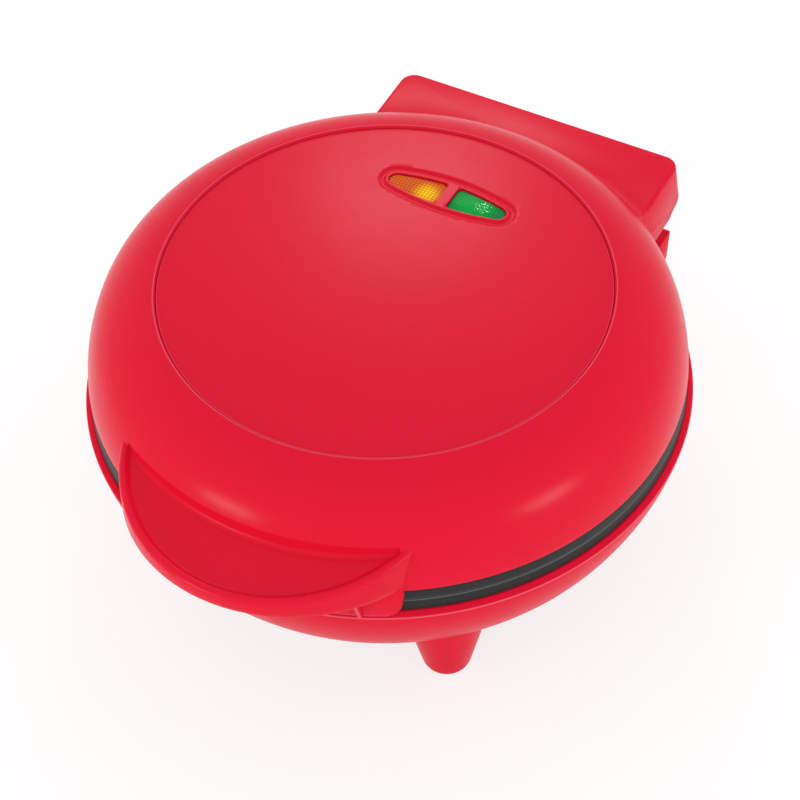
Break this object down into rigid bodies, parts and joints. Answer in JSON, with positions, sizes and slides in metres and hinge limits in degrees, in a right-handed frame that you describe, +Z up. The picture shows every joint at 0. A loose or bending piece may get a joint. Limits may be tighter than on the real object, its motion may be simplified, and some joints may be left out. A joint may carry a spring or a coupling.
{
  "type": "omelette maker",
  "caption": "Round electric omelette maker with a hinged domed lid, half-moon handle, twin-pocket cooking plates, lamp window and cone feet",
  "frame": {"origin": "centre of the box that holds the closed object, on the surface it stands on", "axes": "+Z up, -Y to the front where the handle is, +Y to the back where the hinge is, +X to the right seen from the front"},
  "size_m": [0.196, 0.228, 0.11],
  "materials": {
    "red_shell": "satin gloss moulded red plastic",
    "black_plastic": "matt black plastic",
    "plate_coating": "cast aluminium with a dark grey non-stick coating",
    "element_sheath": "dull steel sheath",
    "steel_sheet": "plain plated steel sheet",
    "shield_sheet": "bright sheet",
    "screw_steel": "zinc plated steel",
    "pin_steel": "drawn steel tube",
    "ceramic": "off-white ceramic",
    "lead_sleeve": "woven glass sleeve",
    "amber_lens": "translucent amber plastic with a prism grid",
    "green_lens": "translucent green plastic with a prism grid",
    "lamp_glass": "clear glass bulb"
  },
  "bodies": {
    "base": {"base_housing": "red_shell", "cord_gland": "black_plastic", "lower_cooking_plate": "plate_coating", "lower_heating_element": "element_sheath", "lower_element_clamp": "steel_sheet", "lower_clamp_screws": "screw_steel", "lower_heat_shield": "shield_sheet", "lower_plate_screws": "screw_steel", "thermostat": "ceramic", "thermostat_bracket": "steel_sheet", "terminal_block": "ceramic", "base_wiring": "lead_sleeve", "hinge_pins": "pin_steel"},
    "lid": {"lid_housing": "red_shell", "lid_disc": "red_shell", "lamp_carrier": "black_plastic", "amber_lens": "amber_lens", "green_lens": "green_lens", "power_lamp": "lamp_glass", "ready_lamp": "lamp_glass", "upper_cooking_plate": "plate_coating", "upper_heating_element": "element_sheath", "upper_element_clamp": "steel_sheet", "upper_clamp_screws": "screw_steel", "upper_heat_shield": "shield_sheet", "upper_plate_screws": "screw_steel", "thermal_fuse": "ceramic", "fuse_clip": "steel_sheet", "lid_wiring": "lead_sleeve"}
  },
  "joints": [
    {"name": "lid_hinge", "type": "hinge", "parent": "base", "child": "lid", "pos_m": [0, 0.1, 0.053], "axis": [-1, 0, 0], "range_deg": [0, 100]}
  ]
}
